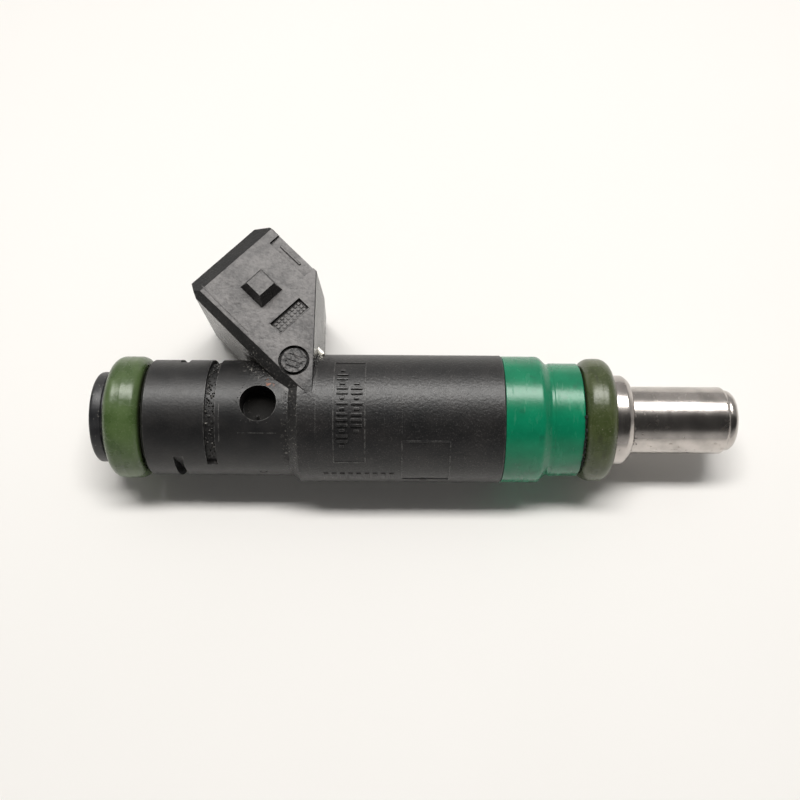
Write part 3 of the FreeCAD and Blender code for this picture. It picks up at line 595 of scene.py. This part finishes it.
def seal_material(name, shadow, main, pale, soil):
    """Return satin green rubber with a bloom, handling marks, soil, and painted shade in its corners and
    against other parts.
    """
    material, tree, shader = new_material(name)
    place = add(tree, "TexCoord", {}).outputs["Object"]
    cloud = grain(tree, place, 2.6 * MM, 4.0)
    fine = grain(tree, place, 0.22 * MM, 3.0)
    colour = mix(tree, fade(tree, cloud, 0.3, 0.7), shadow, main)
    colour = mix(tree, calc(tree, "MULTIPLY", fade(tree, fine, 0.52, 0.8), 0.5), colour, pale)
    smears = fade(tree, grain(tree, place, 1.1 * MM, 5.0, (1, 0.35, 0.35)), 0.56, 0.74)
    # Painted shade: the rubber is darkened in corners and against other parts, along with its soil smears.
    corner = fade(tree, crevice(tree, 1.4 * MM), 0.25, 0.75)
    dirt_and_shade = calc(tree, "MAXIMUM", calc(tree, "MULTIPLY", smears, soil), corner)
    colour = mix(tree, calc(tree, "MULTIPLY", dirt_and_shade, 0.85), colour, (0.018, 0.02, 0.012, 1))
    speck = calc(tree, "MULTIPLY", fade(tree, grain(tree, place, 0.3 * MM, 2.0), 0.68, 0.74), soil)
    colour = mix(tree, speck, colour, (0.3, 0.29, 0.22, 1))
    tree.links.new(colour, shader.inputs["Base Color"])
    tree.links.new(scale_to(tree, cloud, 0.2, 0.36), shader.inputs["Roughness"])
    normal = bump(tree, fine, 0.01 * MM)
    normal = bump(tree, grain(tree, place, 1.6 * MM, 2.0), 0.06 * MM, normal)
    tree.links.new(normal, shader.inputs["Normal"])
    return material


flash_height = 0.015 * MM
sage = seal_material("sage_green_rubber", shadow=(0.045, 0.08, 0.022, 1),
                     main=(0.075, 0.12, 0.04, 1), pale=(0.16, 0.2, 0.11, 1), soil=0.04)
olive = seal_material("olive_green_rubber", shadow=(0.04, 0.055, 0.017, 1),
                      main=(0.068, 0.085, 0.03, 1), pale=(0.15, 0.165, 0.1, 1), soil=0.6)
upper_mesh = seal_ring("upper_o_ring", 1.25 * MM, flash_height)
upper_ring = finished(upper_mesh, "upper_seal", sage, sharp=50)
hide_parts("upper_o_ring")
lower_mesh = seal_ring("lower_o_ring", 1.5 * MM, flash_height)
lower_ring = finished(lower_mesh, "lower_seal", olive, sharp=50)
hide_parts("lower_o_ring")


# Coloured sleeve: emerald green nylon, moulded, semi-gloss and pressed over the coil
# can's end. A short cone steps it down to the seat of the lower seal.

nose_radius = 6.75 * MM
nose_x = sleeve_high.x - 3.74 * MM
cone_x = nose_x - 1.0 * MM
core_depth = 5.4 * MM
emerald_dark = (0.0, 0.15, 0.07, 1)
emerald = (0.0005, 0.2, 0.094, 1)


def sleeve_material():
    """Return scuffed emerald nylon, with smudges and painted shade in its corners."""
    material, tree, shader = new_material("emerald_nylon")
    place = add(tree, "TexCoord", {}).outputs["Object"]
    cloud = grain(tree, place, 4.0 * MM, 3.0)
    fine = grain(tree, place, 0.3 * MM, 3.0)
    colour = mix(tree, fade(tree, cloud, 0.3, 0.7), emerald_dark, emerald)
    bloom = calc(tree, "MULTIPLY", fade(tree, fine, 0.5, 0.8), 0.25)
    colour = mix(tree, bloom, colour, (0.02, 0.29, 0.16, 1))
    scuff = fade(tree, grain(tree, place, 0.7 * MM, 6.0, (1, 0.25, 0.25)), 0.6, 0.72)
    rubbed = calc(tree, "MULTIPLY", edge_wear(tree, 0.15 * MM), 0.4)
    wear = calc(tree, "MAXIMUM", calc(tree, "MULTIPLY", scuff, 0.1), rubbed)
    colour = mix(tree, wear, colour, (0.14, 0.4, 0.27, 1))
    smudge = calc(tree, "MULTIPLY", fade(tree, grain(tree, place, 1.4 * MM, 5.0), 0.6, 0.75), 0.45)
    # Painted shade: corners are darkened along with the smudges.
    dirt_and_shade = calc(tree, "MAXIMUM", smudge, fade(tree, crevice(tree, 1.2 * MM), 0.3, 0.8))
    colour = mix(tree, calc(tree, "MULTIPLY", dirt_and_shade, 0.7), colour, (0.01, 0.05, 0.03, 1))
    tree.links.new(colour, shader.inputs["Base Color"])
    rough = calc(tree, "ADD", scale_to(tree, cloud, 0.2, 0.32), calc(tree, "MULTIPLY", scuff, 0.2))
    tree.links.new(rough, shader.inputs["Roughness"])
    normal = bump(tree, grain(tree, place, 0.5 * MM, 3.0, (1, 0.1, 0.1)), 0.006 * MM)
    normal = bump(tree, fine, 0.01 * MM, normal)
    tree.links.new(normal, shader.inputs["Normal"])
    return material


sleeve_radius = sleeve_high.z
sleeve_mesh = turned([
    (sleeve_low.x, 5.1 * MM, 0),
    (sleeve_low.x, sleeve_radius, 0.12 * MM),
    (cone_x, sleeve_radius, 0.3 * MM),
    (nose_x - 0.04 * MM, nose_radius - 0.1 * MM, 0.15 * MM),
    (nose_x + 0.3 * MM, nose_radius - 0.1 * MM, 0.1 * MM),
    (nose_x + 0.45 * MM, nose_radius, 0.1 * MM),
    (sleeve_high.x, nose_radius, 0.15 * MM),
    (sleeve_high.x, 4.2 * MM, 0),
    (sleeve_low.x + core_depth, 4.2 * MM, 0),
    (sleeve_low.x, 4.2 * MM, 0),
])
sleeve = finished(sleeve_mesh, "green_sleeve", sleeve_material(), sharp=40)
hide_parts("color_sleeve")


# Upper seal retainer: a black nylon ring snapped over the flared inlet tube, moulded
# with a satin skin and rubbed paler along its front edge.

retainer_low, retainer_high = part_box("upper_seal_retainer")


def retainer_material():
    """Return black satin nylon."""
    material, tree, shader = new_material("black_nylon")
    place = add(tree, "TexCoord", {}).outputs["Object"]
    cloud = grain(tree, place, 1.8 * MM, 4.0)
    fine = grain(tree, place, 0.15 * MM, 2.0)
    colour = mix(tree, fade(tree, cloud, 0.35, 0.7), (0.01, 0.01, 0.012, 1), (0.025, 0.025, 0.027, 1))
    rub = calc(tree, "MULTIPLY", edge_wear(tree, 0.2 * MM), fade(tree, cloud, 0.4, 0.6))
    colour = mix(tree, calc(tree, "MULTIPLY", rub, 0.6), colour, (0.2, 0.2, 0.2, 1))
    dust = calc(tree, "MULTIPLY", fade(tree, grain(tree, place, 0.3 * MM, 3.0), 0.64, 0.72), 0.5)
    colour = mix(tree, dust, colour, (0.26, 0.25, 0.22, 1))
    tree.links.new(colour, shader.inputs["Base Color"])
    tree.links.new(scale_to(tree, cloud, 0.32, 0.5), shader.inputs["Roughness"])
    tree.links.new(bump(tree, fine, 0.012 * MM), shader.inputs["Normal"])
    return material


flare_radius = 4.31 * MM
tube_radius = 3.76 * MM
flare_x = retainer_low.x + 0.9 * MM
retainer_mesh = turned([
    (retainer_low.x, flare_radius, 0.1 * MM),
    (retainer_low.x, retainer_high.z, 0.4 * MM),
    (retainer_low.x + 1.3 * MM, retainer_high.z, 0.08 * MM),
    (retainer_low.x + 1.45 * MM, retainer_high.z - 0.18 * MM, 0.05 * MM),
    (retainer_high.x, retainer_high.z - 0.18 * MM, 0.08 * MM),
    (retainer_high.x, tube_radius, 0),
    (flare_x, tube_radius, 0),
    (flare_x, flare_radius, 0),
])
retainer = finished(retainer_mesh, "seal_retainer", retainer_material(), sharp=40)
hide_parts("upper_seal_retainer")


# Valve body and lower collar: stainless steel, turned and polished. The nozzle is the
# valve body's end, rolled over a backing washer; the collar is pressed on behind it.

body_low, body_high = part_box("valve_body")
collar_low, collar_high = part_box("lower_seal_retainer")
tube_outer = 4.2 * MM
nozzle_radius = 4.02 * MM
roll_x = body_high.x - 1.4 * MM
lip_x = body_high.x - 0.7 * MM
nozzle_bore = 2.9 * MM
shell_bore = 3.75 * MM
armature_end_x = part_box("armature")[1].x


def polished_steel(name, tint, rough_low, rough_high, soil):
    """Return turned stainless steel with fine lines round the axis, stains, and soil that darkens the
    corners, partly as painted shade; soil sets how much.
    """
    material, tree, shader = new_material(name)
    place = add(tree, "TexCoord", {}).outputs["Object"]
    lines = grain(tree, place, 0.06 * MM, 2.0, (1, 0.02, 0.02))
    cloud = grain(tree, place, 2.2 * MM, 4.0)
    darker = tuple(channel * 0.72 for channel in tint) + (1,)
    colour = mix(tree, fade(tree, cloud, 0.3, 0.7), darker, tint + (1,))
    stain = calc(tree, "MULTIPLY", fade(tree, grain(tree, place, 0.8 * MM, 6.0), 0.6, 0.72), 0.35)
    colour = mix(tree, stain, colour, (0.22, 0.18, 0.15, 1))
    # Painted shade: corners are darkened in patches, partly soil.
    corner = fade(tree, crevice(tree, 0.8 * MM), 0.45, 0.85)
    speck = fade(tree, grain(tree, place, 0.35 * MM, 4.0), 0.5, 0.64)
    dirt_and_shade = calc(tree, "MULTIPLY", calc(tree, "MULTIPLY", corner, speck), soil)
    colour = mix(tree, dirt_and_shade, colour, (0.015, 0.013, 0.012, 1))
    tree.links.new(colour, shader.inputs["Base Color"])
    tree.links.new(calc(tree, "SUBTRACT", 1.0, dirt_and_shade), shader.inputs["Metallic"])
    stained = calc(tree, "MULTIPLY", stain, 0.3)
    rough = calc(tree, "ADD", scale_to(tree, lines, rough_low, rough_high), stained)
    rough = calc(tree, "MAXIMUM", rough, calc(tree, "MULTIPLY", dirt_and_shade, 0.8))
    tree.links.new(rough, shader.inputs["Roughness"])
    normal = bump(tree, lines, 0.0015 * MM)
    normal = bump(tree, grain(tree, place, 1.5 * MM, 2.0), 0.008 * MM, normal)
    tree.links.new(normal, shader.inputs["Normal"])
    return material


turned_steel = polished_steel("polished_turned_steel", (0.6, 0.56, 0.53), 0.16, 0.28, 1.0)
valve_body_mesh = turned([
    (body_low.x, shell_bore, 0),
    (body_low.x, tube_outer, 0),
    (collar_high.x, tube_outer, 0.03 * MM),
    (collar_high.x + 0.12 * MM, nozzle_radius, 0),
    (roll_x, nozzle_radius, 0.2 * MM),
    (roll_x + 0.22 * MM, 3.62 * MM, 0.1 * MM),
    (roll_x + 0.42 * MM, 3.66 * MM, 0.06 * MM),
    (body_high.x, 3.5 * MM, 0.8 * MM),
    (body_high.x, 2.3 * MM, 0.12 * MM),
    (lip_x, 2.3 * MM, 0),
    (lip_x, nozzle_bore, 0),
    (armature_end_x + 1 * MM, nozzle_bore, 0),
    (armature_end_x + 1 * MM, shell_bore, 0),
])
valve_body = finished(valve_body_mesh, "steel_valve_body", turned_steel, sharp=40)
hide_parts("valve_body")
collar_mesh = turned([
    (collar_low.x, tube_outer, 0),
    (collar_low.x, collar_high.z, 0.15 * MM),
    (collar_high.x - 0.75 * MM, collar_high.z, 0.15 * MM),
    (collar_high.x - 0.12 * MM, collar_high.z - 0.5 * MM, 0.12 * MM),
    (collar_high.x, collar_high.z - 0.72 * MM, 0.05 * MM),
    (collar_high.x, tube_outer, 0),
])
collar = finished(collar_mesh, "steel_collar", turned_steel, sharp=40)
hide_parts("lower_seal_retainer")


# Steel parts that keep their own shape: the inlet tube and shell, pole, armature and
# coil can, the seat stack, ball and spring. Each is turned, drawn or ground stainless.

drawn_steel = polished_steel("drawn_steel", (0.6, 0.58, 0.55), 0.2, 0.34, 0.6)
magnetic_steel = polished_steel("soft_magnetic_steel", (0.5, 0.49, 0.47), 0.25, 0.4, 0.3)
ground_steel = polished_steel("ground_hard_steel", (0.7, 0.7, 0.7), 0.06, 0.14, 0.2)
spring_steel = polished_steel("spring_wire", (0.45, 0.45, 0.45), 0.25, 0.4, 0.2)
steel_nodes = {
    drawn_steel: ("inlet_tube", "non_magnetic_shell", "adjusting_tube", "needle_tube"),
    magnetic_steel: ("pole_piece", "coil_housing", "flux_washer", "armature"),
    turned_steel: ("needle_guide", "orifice_disc", "backup_washer"),
    ground_steel: ("valve_seat", "valve_ball"),
    spring_steel: ("return_spring",),
}


def dress(node, material):
    """Give a CAD node its material."""
    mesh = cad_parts[node].data
    mesh.materials.clear()
    mesh.materials.append(material)


for material, nodes in steel_nodes.items():
    for node in nodes:
        dress(node, material)


# Terminals: two tin-plated brass blades, blanked and bent, moulded into the housing.
# Their tips are coined to a taper and the plating shows faint wiping marks.


def tinned_brass():
    """Return dull tin plate over brass, wiped along the blade."""
    material, tree, shader = new_material("tinned_brass")
    place = add(tree, "TexCoord", {}).outputs["Object"]
    turned_place = add(tree, "Mapping", {"Vector": place, "Rotation": (0, 0, math.radians(45))}).outputs[0]
    wiped = grain(tree, turned_place, 0.12 * MM, 3.0, (1, 0.06, 1))
    cloud = grain(tree, place, 1.2 * MM, 3.0)
    colour = mix(tree, fade(tree, cloud, 0.4, 0.7), (0.62, 0.6, 0.54, 1), (0.7, 0.62, 0.42, 1))
    tree.links.new(colour, shader.inputs["Base Color"])
    shader.inputs["Metallic"].default_value = 1.0
    tree.links.new(scale_to(tree, wiped, 0.22, 0.45), shader.inputs["Roughness"])
    tree.links.new(bump(tree, wiped, 0.004 * MM), shader.inputs["Normal"])
    return material


plating = tinned_brass()
for node in ("terminal_lower", "terminal_upper"):
    blade = merged(node)
    bmesh.ops.dissolve_limit(blade, angle_limit=math.radians(1), verts=blade.verts, edges=blade.edges)
    bmesh.ops.bevel(blade, geom=list(blade.edges), offset=0.08 * MM, affect="EDGES",
                    segments=2, profile=0.5, material=-1)
    piece = finished(blade, node.replace("terminal", "blade"), plating)
    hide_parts(node)


# Coil: enamelled copper wire wound in layers on a natural nylon bobbin, inside the can.
# The small black rubber ring that seals the valve seat is a moulded piece as well.


def copper_winding():
    """Return closely wound enamelled wire."""
    material, tree, shader = new_material("enamelled_copper")
    place = add(tree, "TexCoord", {}).outputs["Object"]
    x = add(tree, "SeparateXYZ", {"Vector": place}).outputs["X"]
    turns = calc(tree, "SINE", calc(tree, "MULTIPLY", x, math.tau / (0.15 * MM)))
    tone = grain(tree, place, 1.5 * MM, 3.0)
    colour = mix(tree, tone, (0.5, 0.18, 0.07, 1), (0.8, 0.38, 0.16, 1))
    tree.links.new(colour, shader.inputs["Base Color"])
    shader.inputs["Metallic"].default_value = 1.0
    tree.links.new(scale_to(tree, tone, 0.22, 0.38), shader.inputs["Roughness"])
    tree.links.new(bump(tree, turns, 0.03 * MM), shader.inputs["Normal"])
    return material


def moulded_material(name, low, high, roughness, grain_size):
    """Return plain moulded stock with a mottled skin."""
    material, tree, shader = new_material(name)
    place = add(tree, "TexCoord", {}).outputs["Object"]
    cloud = grain(tree, place, 1.5 * MM, 4.0)
    fine = grain(tree, place, grain_size, 2.0)
    colour = mix(tree, fade(tree, cloud, 0.3, 0.7), low, high)
    tree.links.new(colour, shader.inputs["Base Color"])
    tree.links.new(scale_to(tree, cloud, roughness - 0.08, roughness + 0.1), shader.inputs["Roughness"])
    tree.links.new(bump(tree, fine, 0.015 * MM), shader.inputs["Normal"])
    return material


natural_nylon = moulded_material("natural_nylon", low=(0.26, 0.24, 0.2, 1),
                                 high=(0.38, 0.35, 0.29, 1), roughness=0.45, grain_size=0.15 * MM)
black_rubber = moulded_material("black_rubber", low=(0.02, 0.02, 0.02, 1),
                                high=(0.035, 0.035, 0.035, 1), roughness=0.5, grain_size=0.2 * MM)
dress("coil_winding", copper_winding())
dress("coil_bobbin", natural_nylon)
dress("seat_o_ring", black_rubber)


# Inlet filter: a woven nylon screen moulded into a natural nylon cage, held in the
# inlet tube by a drawn brass ring.


def woven_screen():
    """Return a fine woven screen, stained by fuel."""
    material, tree, shader = new_material("woven_screen")
    place = add(tree, "TexCoord", {}).outputs["Object"]
    axes = add(tree, "SeparateXYZ", {"Vector": place}).outputs
    around = calc(tree, "ARCTAN2", axes["Z"], axes["Y"])
    weft = calc(tree, "SINE", calc(tree, "MULTIPLY", axes["X"], math.tau / (0.16 * MM)))
    warp = calc(tree, "SINE", calc(tree, "MULTIPLY", around, 96.0))
    weave = scale_to(tree, calc(tree, "MULTIPLY", calc(tree, "ADD", weft, warp), 0.5), 0.0, 1.0)
    tone = grain(tree, place, 1.6 * MM, 4.0)
    colour = mix(tree, weave, (0.14, 0.11, 0.06, 1), (0.62, 0.56, 0.42, 1))
    stain = calc(tree, "MULTIPLY", fade(tree, tone, 0.4, 0.8), 0.7)
    colour = mix(tree, stain, colour, (0.3, 0.22, 0.1, 1))
    tree.links.new(colour, shader.inputs["Base Color"])
    tree.links.new(scale_to(tree, weave, 0.75, 0.5), shader.inputs["Roughness"])
    tree.links.new(bump(tree, weave, 0.03 * MM), shader.inputs["Normal"])
    return material


dress("filter_screen", woven_screen())
dress("filter_frame", natural_nylon)
dress("filter_ring", polished_steel("drawn_brass", (0.78, 0.58, 0.27), 0.2, 0.34, 0.3))


# Table, light and camera. The injector rests on its body and on the lower catch of the
# socket, so it would lie rolled a little. The table is tilted to suit instead, and the
# injector stays square.

catch_foot = Vector((shoulder_x - 3.574 * MM, 13.72 * MM, housing_low.z))
reach = math.hypot(catch_foot.y, catch_foot.z)
roll = math.asin(body_radius / reach) - math.atan2(-catch_foot.z, catch_foot.y)


def table_material():
    """Return a plain pale table top."""
    material, tree, shader = new_material("pale_table")
    place = add(tree, "TexCoord", {}).outputs["Object"]
    cloud = grain(tree, place, 60 * MM, 3.0)
    colour = mix(tree, cloud, (0.86, 0.845, 0.82, 1), (0.9, 0.885, 0.865, 1))
    tree.links.new(colour, shader.inputs["Base Color"])
    tree.links.new(scale_to(tree, cloud, 0.4, 0.55), shader.inputs["Roughness"])
    shader.inputs["Specular IOR Level"].default_value = 0.1
    return material


table = bmesh.new()
bmesh.ops.create_grid(table, x_segments=1, y_segments=1, size=2.0)
bmesh.ops.translate(table, verts=table.verts, vec=(0, 0, -body_radius))
bmesh.ops.rotate(table, verts=table.verts, cent=(0, 0, 0), matrix=Matrix.Rotation(roll, 3, "X"))
table_mesh = bpy.data.meshes.new("table")
table.to_mesh(table_mesh)
table.free()
table_mesh.materials.append(table_material())
table_top = bpy.data.objects.new("table", table_mesh)
bpy.context.scene.collection.objects.link(table_top)


def softbox(name, power, across, along, angle, distance):
    """Add a rectangular light over the injector. The angle runs from +Z towards +Y."""
    lamp = bpy.data.lights.new(name, "AREA")
    lamp.shape = "RECTANGLE"
    lamp.size = along
    lamp.size_y = across
    lamp.energy = power
    lamp.color = (1.0, 0.985, 0.96)
    holder = bpy.data.objects.new(name, lamp)
    turn = math.radians(angle)
    centre_x = (cad_low.x + cad_high.x) / 2
    holder.location = (centre_x, distance * math.sin(turn), distance * math.cos(turn))
    holder.rotation_euler = (-turn, 0, 0)
    bpy.context.scene.collection.objects.link(holder)
    return holder


light_distance = 0.4
overhead = softbox("overhead_light", power=1.62, across=0.06, along=0.3, angle=19, distance=light_distance)
overhead.visible_glossy = False
strip = softbox("highlight_strip", power=2.6, across=0.15, along=0.5, angle=34, distance=light_distance)
strip.visible_diffuse = False
fill = softbox("shadow_fill", power=0.05, across=0.3, along=0.4, angle=-40, distance=light_distance)
fill.visible_glossy = False

world = bpy.data.worlds.new("studio")
bpy.context.scene.world = world
world.use_nodes = True
sky = world.node_tree
background = sky.nodes["Background"]
heading = add(sky, "SeparateXYZ", {"Vector": add(sky, "TexCoord", {}).outputs["Generated"]}).outputs
angle = calc(sky, "ARCTAN2", heading["Y"], heading["Z"])
place_on_ramp = calc(sky, "ADD", calc(sky, "MULTIPLY", angle, 1 / math.tau), 0.5)
ramp = add(sky, "ValToRGB", {"Fac": place_on_ramp})
# Brightness of the room by angle, in degrees, from one side over to the other.
stops = [(-180, 0.6), (-80, 0.55), (-62, 0.4), (-50, 0.05), (4, 0.04),
         (16, 0.4), (55, 0.35), (95, 0.5), (180, 0.6)]
band = ramp.color_ramp
while len(band.elements) < len(stops):
    band.elements.new(0.5)
for element, (degrees, level) in zip(band.elements, stops):
    element.position = (degrees + 180) / 360
    element.color = (level, level * 0.98, level * 0.95, 1)
sky.links.new(ramp.outputs["Color"], background.inputs["Color"])
background.inputs["Strength"].default_value = 1.0
bpy.context.scene.view_settings.view_transform = "Standard"

camera_data = bpy.data.cameras.new("camera")
camera_data.lens = 41.4
camera_data.sensor_width = 36.0
camera = bpy.data.objects.new("camera", camera_data)
bpy.context.scene.collection.objects.link(camera)
elevation = math.radians(74)
distance = 111 * MM
back = Vector((0, -math.cos(elevation), math.sin(elevation)))
target = Vector((-23.046 * MM, 2.15 * MM, 0.6 * MM))
facing = (-back).to_track_quat("-Z", "Y").to_matrix().to_4x4()
tilt = Matrix.Rotation(math.radians(0.35), 4, "Z")
camera.matrix_world = Matrix.Translation(target + back * distance) @ facing @ tilt
bpy.context.scene.camera = camera
